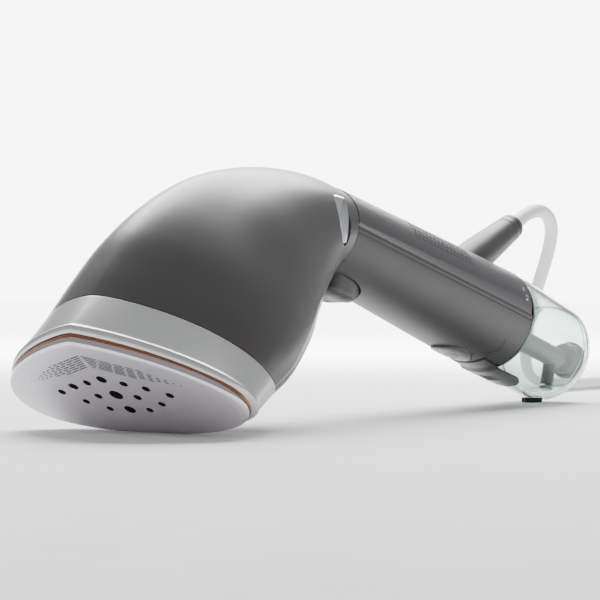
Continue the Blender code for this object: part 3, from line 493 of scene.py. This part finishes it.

# --- Head casing -------------------------------------------------------------------------
# Two dark satin mouldings: a large front shell from the band to the neck, and a rear shell
# behind the seam on each flank, with a chamfer and a groove beside the seam. The chamfer's
# brightness is a painted highlight.
STATIONS = [
    ((-57.6, 21.8), (15.0, 21.8), 48.8, 0.0),
    ((-56.4, 36.0), (23.0, 34.0), 47.8, 0.05),
    ((-53.4, 54.0), (30.5, 47.0), 44.4, 0.18),
    ((-46.0, 73.5), (37.5, 60.0), 39.3, 0.36),
    ((-34.0, 93.0), (41.5, 73.0), 33.8, 0.55),
    ((-17.0, 110.5), (44.8, 85.0), 28.4, 0.74),
    ((2.0, 125.0), (47.2, 95.5), 24.0, 0.88),
    ((20.0, 135.2), (48.8, 102.5), 20.8, 0.97),
    ((37.0, 142.1), (49.6, 107.1), 18.7, 1.0),
]


def station(u):
    """The section at u, from 0 at the band to 1 at the neck, on a smooth curve."""
    last = len(STATIONS) - 1
    k = min(int(u * last), last - 1)
    t = u * last - k
    weights = (-t + 2 * t ** 2 - t ** 3, 2 - 5 * t ** 2 + 3 * t ** 3, t + 4 * t ** 2 - 3 * t ** 3,
               t ** 3 - t ** 2)
    mix = [0.0] * 6
    for weight, j in zip(weights, range(k - 1, k + 3)):
        front, rear, width, roundness = STATIONS[min(max(j, 0), last)]
        for i, value in enumerate((*front, *rear, width, roundness)):
            mix[i] += 0.5 * weight * value
    return (mix[0] * MM, mix[1] * MM), (mix[2] * MM, mix[3] * MM), mix[4] * MM, min(1.0, mix[5])


def head_skin(u, angle, inset=0.0):
    front, rear, width, roundness = station(u)
    return section_point(front, rear, width, roundness, angle, inset)


SPLIT = math.radians(128.0)
STRIP_U = 0.05


def front_skin(u, v):
    """The front shell, with a flat chamfer along its rear edges that fades out at the neck."""
    front, rear, width, roundness = station(v)
    strip = 4.6 * MM / (0.5 * math.hypot(front[0] - rear[0], front[1] - rear[1]) + 0.5 * width)
    strip *= min(1.0, max(0.02, (0.93 - v) / 0.12))
    edge = min(u, 1 - u)
    if edge < STRIP_U:
        turn = SPLIT - strip * edge / STRIP_U
    else:
        turn = (SPLIT - strip) * (0.5 - edge) / (0.5 - STRIP_U)
    return head_skin(v, -turn if u < 0.5 else turn, 0.35 * MM * max(0.0, 1 - edge / STRIP_U))


# Painted highlight: the chamfer strip along the rear edges gets a mask that lightens its colour.
bm = skin(front_skin, 180, 90, lambda u, v: 1.0 if min(u, 1 - u) < STRIP_U - 0.002 and v < 0.9 else 0.0)
head_grey = fine("head_grey", (0.060, 0.056, 0.059), 0.36, 0.25, grain=3000.0, relief=0.05, patch=0.03,
                 painted_highlight=1.1, Coat_Weight=0.08, Coat_Roughness=0.2)
front_shell = finish_piece("head_front_skin", bm, head_grey)
thicken(front_shell, 2.0 * MM, 0.25 * MM)
LOCK_S = -13.4 * MM
def lock_ring(middle, half_s, half_q, y, tip=0.0):
    """One outline of the lock: an oval across the flank; tip drags its lower end to the tank."""
    ring_points = []
    for k in range(64):
        turn = 2 * math.pi * k / 64
        up = half_q * math.sin(turn)
        shift = half_s * math.cos(turn) + tip * (up / half_q)
        ring_points.append(neck + along * ((middle + shift) * MM) + upward * (up * MM) + Vector((0, y * MM, 0)))
    return ring_points


def lock_loft(rings):
    bm = bmesh.new()
    loops = []
    for points in rings:
        circle = bmesh.ops.create_circle(bm, segments=len(points), radius=1.0)["verts"]
        for vert, point in zip(circle, points):
            vert.co = point
        loops.append({e for v in circle for e in v.link_edges})
    for low, high in zip(loops, loops[1:]):
        bmesh.ops.bridge_loops(bm, edges=list(low | high))
    for rim in (loops[0], loops[-1]):
        bmesh.ops.contextual_create(bm, geom=list(rim))
    bmesh.ops.recalc_face_normals(bm, faces=bm.faces)
    return bm


bm = lock_loft([lock_ring(LOCK_S / MM, 5.6, 9.9, y, -2.2) for y in (-12.0, -26.0)])
carve(front_shell, bm)
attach(front_shell, "head")
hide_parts("head_front_shell")


def rear_skin(u, v):
    """The rear shell, with a groove a little way in from each edge."""
    start = SPLIT + math.radians(1.1)
    stop = 2 * math.pi - start
    edge = min(u, 1 - u)
    dent = 0.55 * MM * math.exp(-((edge - 0.085) / 0.008) ** 2)
    lift = 0.5 * MM * max(0.0, 1 - edge / 0.07)
    return head_skin(v, start + (stop - start) * u, dent + lift)


bm = skin(rear_skin, 150, 70)
rear_way = head_point(30 * MM, 0, 45 * MM) - head_point(0, 0, 60 * MM)
if sum(f.normal.dot(rear_way) * f.calc_area() for f in bm.faces) < 0:
    bmesh.ops.reverse_faces(bm, faces=bm.faces)
rear_shell = finish_piece("head_rear_skin", bm, fine("rear_grey", (0.060, 0.058, 0.060), 0.36, 0.2,
                                                     grain=2600.0, relief=0.07, patch=0.03))
thicken(rear_shell, 2.0 * MM, 0.2 * MM)
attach(rear_shell, "head")
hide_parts("head_rear_shell")

# --- Lock button -------------------------------------------------------------------------
# A bright chromed lens in a scooped recess on the flank by the neck. Pressing it frees the
# head's turn; a spring behind it pushes it back.
chrome = fine("bright_chrome", (0.78, 0.79, 0.80), 0.07, 1.0, grain=500.0, relief=0.01, patch=0.01)
lens = [(-13.4, 5.4, 9.7, -13.0, -2.2), (-13.4, 5.4, 9.7, -16.4, -2.2), (-12.9, 4.6, 9.3, -17.8, -2.3),
        (-12.0, 3.3, 8.8, -19.3, -2.5), (-11.8, 2.9, 8.5, -19.75, -2.5), (-11.7, 2.6, 8.2, -19.9, -2.5),
        (-11.7, 1.4, 4.5, -20.05, -1.4)]
bm = lock_loft([lock_ring(*values) for values in lens])
lock = finish_piece("lock_lens", bm, chrome, 50.0)
lock.data.materials.append(fine("brushed_lens", (0.40, 0.42, 0.45), 0.3, 1.0, grain=1800.0, relief=0.05))
for face in lock.data.polygons:
    if face.center.y < -19.8 * MM:
        face.material_index = 1
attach(lock, "lock")
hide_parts("lock_button")

# --- Handle casing -----------------------------------------------------------------------
# Two mouldings that meet along a seam above the middle. The top cover has a chamfer above
# the seam, lightened by a painted highlight, and a patch of low lozenges for grip; the lower
# casing has a thumb arc near the tank.
NECK_R = 18.7 * MM
RING_R = 23.8 * MM


def grip_point(s, angle, out=0.0):
    """A point on the handle: s from the tank ring, angle up from the near side."""
    radius = NECK_R + (RING_R - NECK_R) * (s + HANDLE_LEN) / HANDLE_LEN + out
    return ring + along * s + upward * (radius * math.sin(angle)) - Vector((0, radius * math.cos(angle), 0))


PARTING = math.radians(5.0)
NECK_GAP = 0.35 * MM


def cover_point(u, v):
    """The top cover: a shallow flat chamfer rises from each seam."""
    angle = PARTING + (math.pi - 2 * PARTING) * u
    s = -HANDLE_LEN + NECK_GAP + (HANDLE_LEN - 0.6 * MM) * v
    edge = min(angle - PARTING, math.pi - PARTING - angle)
    broad = math.radians(5.5 + 8.0 * v)
    sink = 0.55 * MM * (1 - min(1.0, edge / broad)) ** 1.0
    return grip_point(s, angle, -sink)


bm = skin(cover_point, 160, 40)
# cover_grey lifts its colour where the painted highlight mask is set.
cover = finish_piece("top_cover_skin", bm, fine("cover_grey", (0.078, 0.073, 0.079), 0.36, 0.25,
                                                grain=3000.0, relief=0.06, patch=0.03, painted_highlight=0.4), 12.0)
thicken(cover, 2.0 * MM, 0.25 * MM, 12.0)
turn_guide = guide_way.to_track_quat("Z", "Y").to_matrix().to_4x4()
guide_base = ring + along * (-16.8 * MM) + upward * (25.0 * MM)
bm = bmesh.new()
bmesh.ops.create_cone(bm, cap_ends=True, segments=64, radius1=8.3 * MM, radius2=8.3 * MM, depth=60 * MM,
                      matrix=Matrix.Translation(guide_base) @ turn_guide)
carve(cover, bm, 12.0)


def paint_highlight(obj, amount):
    """Stores a painted-highlight mask at every corner of a piece: amount turns a point into 0..1."""
    layer = obj.data.attributes.new("painted_highlight", "FLOAT", "CORNER")
    for face in obj.data.polygons:
        middle = face.center
        for loop in face.loop_indices:
            layer.data[loop].value = amount(middle)


def grip_angle(point):
    """How far along the handle a point is, from the ring, and its angle up from the near side."""
    offset = point - ring
    up = offset.dot(upward)
    return offset.dot(along), math.atan2(up, -offset.y)


def on_chamfer(point):
    s, angle = grip_angle(point)
    edge = min(angle - PARTING, math.pi - PARTING - angle)
    return 1.0 if edge < math.radians(5.5 + 8.0 * (s + HANDLE_LEN) / HANDLE_LEN) else 0.0


# Painted highlight: the chamfer bands above the seams are lightened in colour.
paint_highlight(cover, on_chamfer)
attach(cover, "handle")
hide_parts("top_cover")

bm = bmesh.new()
for row in range(5):
    for place in range(15):
        s = (-92.0 + place * 3.1 + (row % 2) * 1.55) * MM
        angle = math.radians(34 + row * 6.4)
        tile = bmesh.ops.create_circle(bm, cap_ends=True, segments=4, radius=1.0)["verts"]
        for vert in tile:
            spin = math.atan2(vert.co.y, vert.co.x) + math.pi / 4
            vert.co = grip_point(s + round(math.cos(spin)) * 1.25 * MM,
                                 angle + round(math.sin(spin)) * math.radians(2.6), 0.0)
        rim = [f for f in {f for v in tile for f in v.link_faces}]
        raised = bmesh.ops.extrude_face_region(bm, geom=rim)
        for item in raised["geom"]:
            if isinstance(item, bmesh.types.BMVert):
                item.co += (item.co - ring).cross(along).cross(along).normalized() * (-0.14 * MM)
bmesh.ops.recalc_face_normals(bm, faces=bm.faces)
lozenges = finish_piece("grip_lozenges", bm, cover.data.materials[0], 20.0)
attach(lozenges, "handle")


def casing_point(u, v):
    """The lower casing, with a fine lip below each seam."""
    start = math.pi - PARTING + 0.016
    stop = 2 * math.pi + PARTING - 0.016
    angle = start + (stop - start) * u
    edge = min(angle - start, stop - angle)
    lip = 0.18 * MM * math.exp(-((edge - 0.085) / 0.012) ** 2)
    return grip_point(-HANDLE_LEN + NECK_GAP + (HANDLE_LEN - 0.6 * MM) * v, angle, -lip)


bm = skin(casing_point, 180, 40)
casing_grey = fine("casing_grey", (0.036, 0.0345, 0.0355), 0.42, 0.03, grain=2400.0, relief=0.08, patch=0.03)
casing = finish_piece("lower_casing_skin", bm, casing_grey, 20.0)
thicken(casing, 2.0 * MM, 0.25 * MM, 20.0)
BUTTON_S = -26.0 * MM


def oval_bar(bm, s, q, half, depth, corners=2.0):
    """An upright oval prism through the handle's wall; corners above 2 squares it off."""
    made = bmesh.ops.create_cone(bm, cap_ends=True, segments=64, radius1=1.0, radius2=1.0, depth=1.0)
    for vert in made["verts"]:
        turn = math.atan2(vert.co.y, vert.co.x)
        x = math.copysign(abs(math.cos(turn)) ** (2 / corners), math.cos(turn)) * half[0]
        y = math.copysign(abs(math.sin(turn)) ** (2 / corners), math.sin(turn)) * half[1]
        vert.co = ring + along * (s + x) + Vector((0, y, 0)) + upward * (q + vert.co.z * depth)


bm = bmesh.new()
oval_bar(bm, BUTTON_S, -24 * MM, (12.35 * MM, 8.35 * MM), 14 * MM)
carve(casing, bm, 20.0)


def pad_plan(turn, inset):
    """Outline of the trigger's finger pad about its middle: rounder towards the tank."""
    x, y = math.cos(turn), math.sin(turn)
    if x >= 0:
        return (16.4 - inset) * MM * x, (9.0 - inset) * MM * y
    return -(10.4 - inset) * MM * abs(x) ** 0.4, (9.0 - inset) * MM * math.copysign(abs(y) ** 0.4, y)


def pad_loft(levels, slope, corners=72):
    """A closed solid through pad outlines at (inset, height); slope lifts the end by the tank."""
    bm = bmesh.new()
    loops = []
    for inset, z in levels:
        circle = bmesh.ops.create_circle(bm, segments=corners, radius=1.0)["verts"]
        for k, vert in enumerate(circle):
            x, y = pad_plan(2 * math.pi * k / corners, inset)
            drop = z * (1 - slope * max(0.0, x / (16.4 * MM)) ** 2) if z < -5 else z
            vert.co = pad_seat + along * x + Vector((0, y, 0)) + upward * (drop * MM)
        loops.append({e for v in circle for e in v.link_edges})
    for low, high in zip(loops, loops[1:]):
        bmesh.ops.bridge_loops(bm, edges=list(low | high))
    for rim in (loops[0], loops[-1]):
        bmesh.ops.contextual_create(bm, geom=list(rim))
    bmesh.ops.recalc_face_normals(bm, faces=bm.faces)
    return bm


pivot = Vector(joints["trigger_pull"]["pos_m"])
pad_seat = pivot - along * (7.0 * MM)
carve(casing, pad_loft([(-0.65, -2.0), (-0.65, -20.0)], 0.0), 20.0)
bm = bmesh.new()
oval_bar(bm, -2.9 * MM, -26 * MM, (10.2 * MM, 9.7 * MM), 16 * MM, 16.0)
carve(casing, bm, 20.0)
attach(casing, "handle")
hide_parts("lower_casing")

# --- Thumb arcs --------------------------------------------------------------------------
# Shallow curved mould lines on both flanks of the lower casing, where the thumb presses.
def tube(name, points, radius, material, sides=3):
    """A round bead along a smooth line."""
    line = bpy.data.curves.new(name, "CURVE")
    line.dimensions = "3D"
    line.bevel_depth = radius
    line.bevel_resolution = sides
    line.use_fill_caps = True
    bead = line.splines.new("POLY")
    bead.points.add(len(points) - 1)
    for slot, point in zip(bead.points, points):
        slot.co = (*point, 1.0)
    obj = bpy.data.objects.new(name, line)
    bpy.context.collection.objects.link(obj)
    mesh = bpy.data.meshes.new_from_object(obj.evaluated_get(bpy.context.evaluated_depsgraph_get()))
    bpy.data.objects.remove(obj, do_unlink=True)
    bm = bmesh.new()
    bm.from_mesh(mesh)
    return finish_piece(name, bm, material, 60.0)


black_line = fine("seam_black", (0.008, 0.008, 0.008), 0.6)
for side in (1, -1):
    arc = []
    for k in range(15):
        turn = math.radians(35 - 115 * k / 14)
        s = (-20.5 + 8.4 * math.cos(turn)) * MM
        angle = math.radians(-44.0 + 18.0 * math.sin(turn))
        arc.append(grip_point(s, angle if side > 0 else math.pi - angle, -0.02 * MM))
    bead = tube("thumb_arc_" + ("near" if side > 0 else "far"), arc, 0.16 * MM, black_line)
    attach(bead, "handle")

# --- Lock symbol -------------------------------------------------------------------------
# A small white printed padlock and a tick beside the tank ring, that say where the tank locks.
white_print = fine("white_print", (0.8, 0.8, 0.8), 0.5, relief=0.02)
bm = bmesh.new()
for low, high, wide, tall in ((-4.6, 19.0, 1.5, 2.6), (-4.6, 22.6, 0.35, 1.6), (-3.3, 22.6, 0.35, 1.6),
                              (-3.95, 24.6, 1.6, 0.8), (-5.4, 31.5, 0.5, 5.0)):
    quad = bmesh.ops.create_grid(bm, x_segments=2, y_segments=3, size=0.5)["verts"]
    for vert in quad:
        vert.co = grip_point((low + vert.co.x * wide) * MM, math.radians(high + vert.co.y * tall), 0.02 * MM)
bmesh.ops.recalc_face_normals(bm, faces=bm.faces)
symbol = finish_piece("lock_symbol", bm, white_print)
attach(symbol, "handle")

# --- Trigger -----------------------------------------------------------------------------
# A dark moulded steam trigger that hangs from a pin under the neck, rounded for one finger.
levels = [(0.0, -3.4), (0.0, -9.6), (0.12, -10.5), (0.45, -11.3), (1.0, -12.0), (1.8, -12.6), (2.9, -13.0),
          (4.2, -13.2), (4.6, -13.0), (6.0, -13.05)]
trigger = finish_piece("trigger_skin", pad_loft(levels, 0.34), casing_grey, 30.0)
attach(trigger, "trigger")
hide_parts("trigger")

# --- Power button ------------------------------------------------------------------------
# A domed oval push button in a well under the handle, with a raised on-off symbol.
button_r = NECK_R + (RING_R - NECK_R) * (BUTTON_S + HANDLE_LEN) / HANDLE_LEN
button_seat = ring + along * BUTTON_S - upward * button_r


def button_point(u, v):
    """The button: a wall, a rounded rim and a low dome that follows the casing."""
    turn = 2 * math.pi * u
    over = max(0.0, (v - 0.4) / 0.6)
    grow = math.cos(over * math.pi / 2) ** 0.55 if over < 1 else 0.0
    y = 8.0 * MM * grow * math.sin(turn)
    out = 5.0 - 5.2 * min(1.0, v / 0.4) - 1.0 * over ** 0.5
    bend = (button_r - math.sqrt(button_r ** 2 - y ** 2)) * min(1.0, v / 0.4)
    return button_seat + along * (12.0 * MM * grow * math.cos(turn)) + Vector((0, y, 0)) \
        + upward * (out * MM + bend)


bm = skin(button_point, 72, 34)
button_grey = fine("button_grey", (0.085, 0.083, 0.086), 0.32, 0.3, grain=2600.0, relief=0.05)
button = finish_piece("power_button_skin", bm, button_grey)
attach(button, "power_button")
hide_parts("power_button")
arc = []
for k in range(25):
    turn = math.radians(40 + 280 * k / 24)
    y = 3.0 * MM * math.sin(turn)
    arc.append(button_seat + along * (3.0 * MM * math.cos(turn)) + Vector((0, y, 0))
               + upward * (button_r - math.sqrt(button_r ** 2 - y ** 2) - 1.05 * MM))
sign = tube("power_ring", arc, 0.28 * MM, button_grey)
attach(sign, "power_button")
bar = [button_seat + along * (x * MM) - upward * (1.12 * MM) for x in (1.0, 2.6, 4.4)]
stroke = tube("power_bar", bar, 0.28 * MM, button_grey)
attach(stroke, "power_button")

# --- Tank latch --------------------------------------------------------------------------
# A springy dark tongue that reaches over the ring and hooks the tank, with finger marks.
latch_half = math.asin(9.0 / 23.8)


def latch_radius(s):
    """Outer radius of the tongue: flush with the casing, then stepping over the tank."""
    step = min(1.0, max(0.0, (s / MM + 3.4) / 4.0))
    return NECK_R + (RING_R - NECK_R) * (min(s, 0) + HANDLE_LEN) / HANDLE_LEN \
        + (0.25 + 1.0 * step * step * (3 - 2 * step)) * MM


def latch_point(u, v):
    s = (-11.7 + 39.2 * v) * MM
    end = max(0.0, (s / MM - 17) / 10.5)
    reach = latch_half * math.sqrt(max(0.0004, 1 - end ** 2))
    turn = -math.pi / 2 + reach * (2 * u - 1)
    r = latch_radius(s)
    return ring + along * s + upward * (r * math.sin(turn)) - Vector((0, r * math.cos(turn), 0))


bm = skin(latch_point, 30, 60)
if sum(f.normal.dot(upward) for f in bm.faces) > 0:
    bmesh.ops.reverse_faces(bm, faces=bm.faces)
latch_finish = fine("latch_grey", (0.060, 0.058, 0.060), 0.38, 0.2, grain=2400.0, relief=0.07)
latch = finish_piece("latch_skin", bm, latch_finish)
thicken(latch, 0.9 * MM, 0.2 * MM)
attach(latch, "tank_latch")
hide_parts("tank_latch")
bm = bmesh.new()
oval_bar(bm, -2.2 * MM, -19.6 * MM, (1.6 * MM, 4.0 * MM), 7.6 * MM, 6.0)
lug = finish_piece("latch_lug", bm, latch_finish)
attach(lug, "tank_latch")
marks = []
for place in (6.0, 9.0, 12.0):
    arc = []
    for k in range(11):
        turn = math.radians(-70 + 140 * k / 10)
        arc.append(ring + along * ((place + 2.2 * math.cos(turn)) * MM) + Vector(
            (0, 3.6 * MM * math.sin(turn), 0)) - upward * math.sqrt((25.15 * MM) ** 2
                                                                  - (3.6 * MM * math.sin(turn)) ** 2))
    rib = tube("latch_rib_%d" % (len(marks) + 1), arc, 0.25 * MM, latch_finish)
    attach(rib, "tank_latch")
    marks.append(rib)

# --- Water tank --------------------------------------------------------------------------
# A clear grey-green blow moulding that slides on to the handle's end. Its rounded end is
# welded on, which leaves a fine bead inside.
TANK_LEN, TANK_END, TANK_R = 67.0, 12.5, 23.5
fill = ring + along * (TANK_LEN * MM) + Vector((0, -6 * MM, 0)) + upward * (-2 * MM)


def tank_side(wall):
    """Half of the tank's outline, as (distance, radius), inside its outer face by the wall."""
    line = [(0.3, 23.8 - wall), (8, 23.78 - wall), (16, 23.75 - wall), (25, 23.68 - wall), (34, 23.6 - wall),
            (47, TANK_R - wall)]
    for k in range(25):
        turn = math.radians(90 * k / 24)
        line.append((TANK_LEN - TANK_END + (TANK_END - wall) * math.sin(turn),
                     (TANK_R - wall) * math.cos(turn)))
    return line[:-1] + [(line[-1][0], 0.0)]


def turned(profile, place, way, steps=96):
    """A solid of revolution: (distance, radius) pairs spun about a line."""
    bm = bmesh.new()
    side = way.orthogonal().normalized()
    verts = [bm.verts.new(place + way * (x * MM) + side * (r * MM)) for x, r in profile]
    edges = [bm.edges.new(pair) for pair in zip(verts, verts[1:])]
    bmesh.ops.spin(bm, geom=verts + edges, cent=place, axis=way, angle=2 * math.pi, steps=steps,
                   use_merge=True)
    bmesh.ops.remove_doubles(bm, verts=bm.verts, dist=2e-6)
    bmesh.ops.recalc_face_normals(bm, faces=bm.faces)
    return bm


TANK_WALL, BEAD_HIGH = 1.7, 2.2
bead = tank_side(TANK_WALL)
bead[6:6] = [(51.4, TANK_R - TANK_WALL), (51.8, TANK_R - BEAD_HIGH), (52.9, TANK_R - BEAD_HIGH),
             (53.3, TANK_R - TANK_WALL)]
bm = turned(list(reversed(bead)) + tank_side(0.0), ring, along)
TANK_DROOP, DROOP_FROM, DROOP_OVER = 1.3 * MM, 15, 45
for vert in bm.verts:
    sink = TANK_DROOP * max(0.0, ((vert.co - ring).dot(along) / MM - DROOP_FROM) / DROOP_OVER)
    vert.co -= upward * sink
tank_finish = fine("clear_grey_green", (0.72, 0.81, 0.765), 0.04, grain=220.0, relief=0.02, patch=0.01,
                   Transmission_Weight=1.0, IOR=1.42)
tank = finish_piece("tank_skin", bm, tank_finish, 40.0)
bm = bmesh.new()
FILLER_R = 7.4 * MM
bmesh.ops.create_cone(bm, cap_ends=True, segments=64, radius1=FILLER_R, radius2=FILLER_R, depth=24 * MM,
                      matrix=Matrix.Translation(fill) @ along.to_track_quat("Z", "Y").to_matrix().to_4x4())
carve(tank, bm, 40.0)
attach(tank, "tank")
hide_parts("tank_shell")

# --- Cord guide --------------------------------------------------------------------------
# A tapered dark sleeve that turns in the top cover, grooved near its mouth.
profile = [(-14.5, 0), (-14.5, 8.15), (-3.0, 8.15), (3.0, 7.95), (27.2, 6.45), (27.6, 6.1), (28.0, 6.35),
           (31.6, 6.2), (32.0, 5.85), (32.4, 6.1), (34.4, 5.95), (35.0, 5.4), (35.0, 3.7), (34.4, 3.45),
           (22, 3.45), (22, 0)]
guide_grey = fine("guide_grey", (0.062, 0.059, 0.061), 0.42, 0.15, grain=2400.0, relief=0.08, patch=0.03)
guide = finish_piece("cord_guide_skin", turned(profile, guide_base, guide_way), guide_grey, 30.0)
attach(guide, "cord_guide")
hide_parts("cord_guide")

# --- Pieces seen through the tank, and pieces inside ---------------------------------------
# Moulded, turned and pressed parts that keep the shapes they were made in. Each gets the finish
# of its real stuff. The foot is a round rubber pad that stands in for its square block.
inside_grey = fine("inner_grey_green", (0.15, 0.18, 0.165), 0.4, grain=1600.0, relief=0.08)
steel = fine("bright_steel", (0.55, 0.55, 0.56), 0.28, 1.0, grain=900.0, relief=0.08)
bm = bmesh.new()
foot_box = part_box("tank_foot")
foot_middle = Vector([(low + high) / 2 for low, high in zip(*foot_box)])
PAD_HIGH = 2.3
for z, radius in ((0.0, 4.4), (0.5, 4.8), (PAD_HIGH, 4.8)):
    circle = bmesh.ops.create_circle(bm, segments=40, radius=radius * MM)["verts"]
    bmesh.ops.translate(bm, verts=circle, vec=(foot_middle.x - 0.6 * MM, foot_middle.y, z * MM))
bmesh.ops.bridge_loops(bm, edges=[e for e in bm.edges])
for level in (0.0, PAD_HIGH):
    bmesh.ops.contextual_create(bm, geom=[e for e in bm.edges if all(
        abs(v.co.z - level * MM) < 1e-6 for v in e.verts)])
bmesh.ops.recalc_face_normals(bm, faces=bm.faces)
pad = finish_piece("foot_pad", bm, fine("foot_rubber", (0.02, 0.02, 0.02), 0.7, grain=900.0, relief=0.2))
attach(pad, "tank")
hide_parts("tank_foot")
black = fine("black_rubber", (0.018, 0.018, 0.018), 0.65, grain=900.0, relief=0.2)
board = fine("board_green", (0.03, 0.16, 0.07), 0.45, grain=1100.0, relief=0.1)
cast = fine("cast_metal", (0.55, 0.55, 0.55), 0.5, 1.0, grain=500.0, relief=0.3)
plug_white = fine("plug_white", (0.78, 0.78, 0.77), 0.38, grain=2200.0, relief=0.06, patch=0.02)
stuffs = {
    inside_grey: ["tank_lid", "suction_tube", "tank_bulkhead", "tank_spigot", "filler_plug"],
    steel: ["heating_element", "thermostat", "thermal_fuse", "heat_shield", "head_screw_1", "head_screw_2",
            "retaining_ring", "lock_spring", "casing_screw_1", "casing_screw_2", "pump", "trigger_pin",
            "trigger_spring", "latch_pin", "suction_filter", "plug_pin_1", "plug_pin_2"],
    black: ["steam_pipe", "inlet_hose", "outlet_hose", "tank_seal"],
    casing_grey: ["swivel_sleeve", "pump_bracket", "trigger_switch", "power_switch"],
    silver_finish: ["swivel_collar"],
    board: ["circuit_board"],
    cast: ["steam_chamber"],
    plug_white: ["plug_body"],
}
for stuff, names in stuffs.items():
    for name in names:
        frame["nodes"][name].data.materials.clear()
        frame["nodes"][name].data.materials.append(stuff)
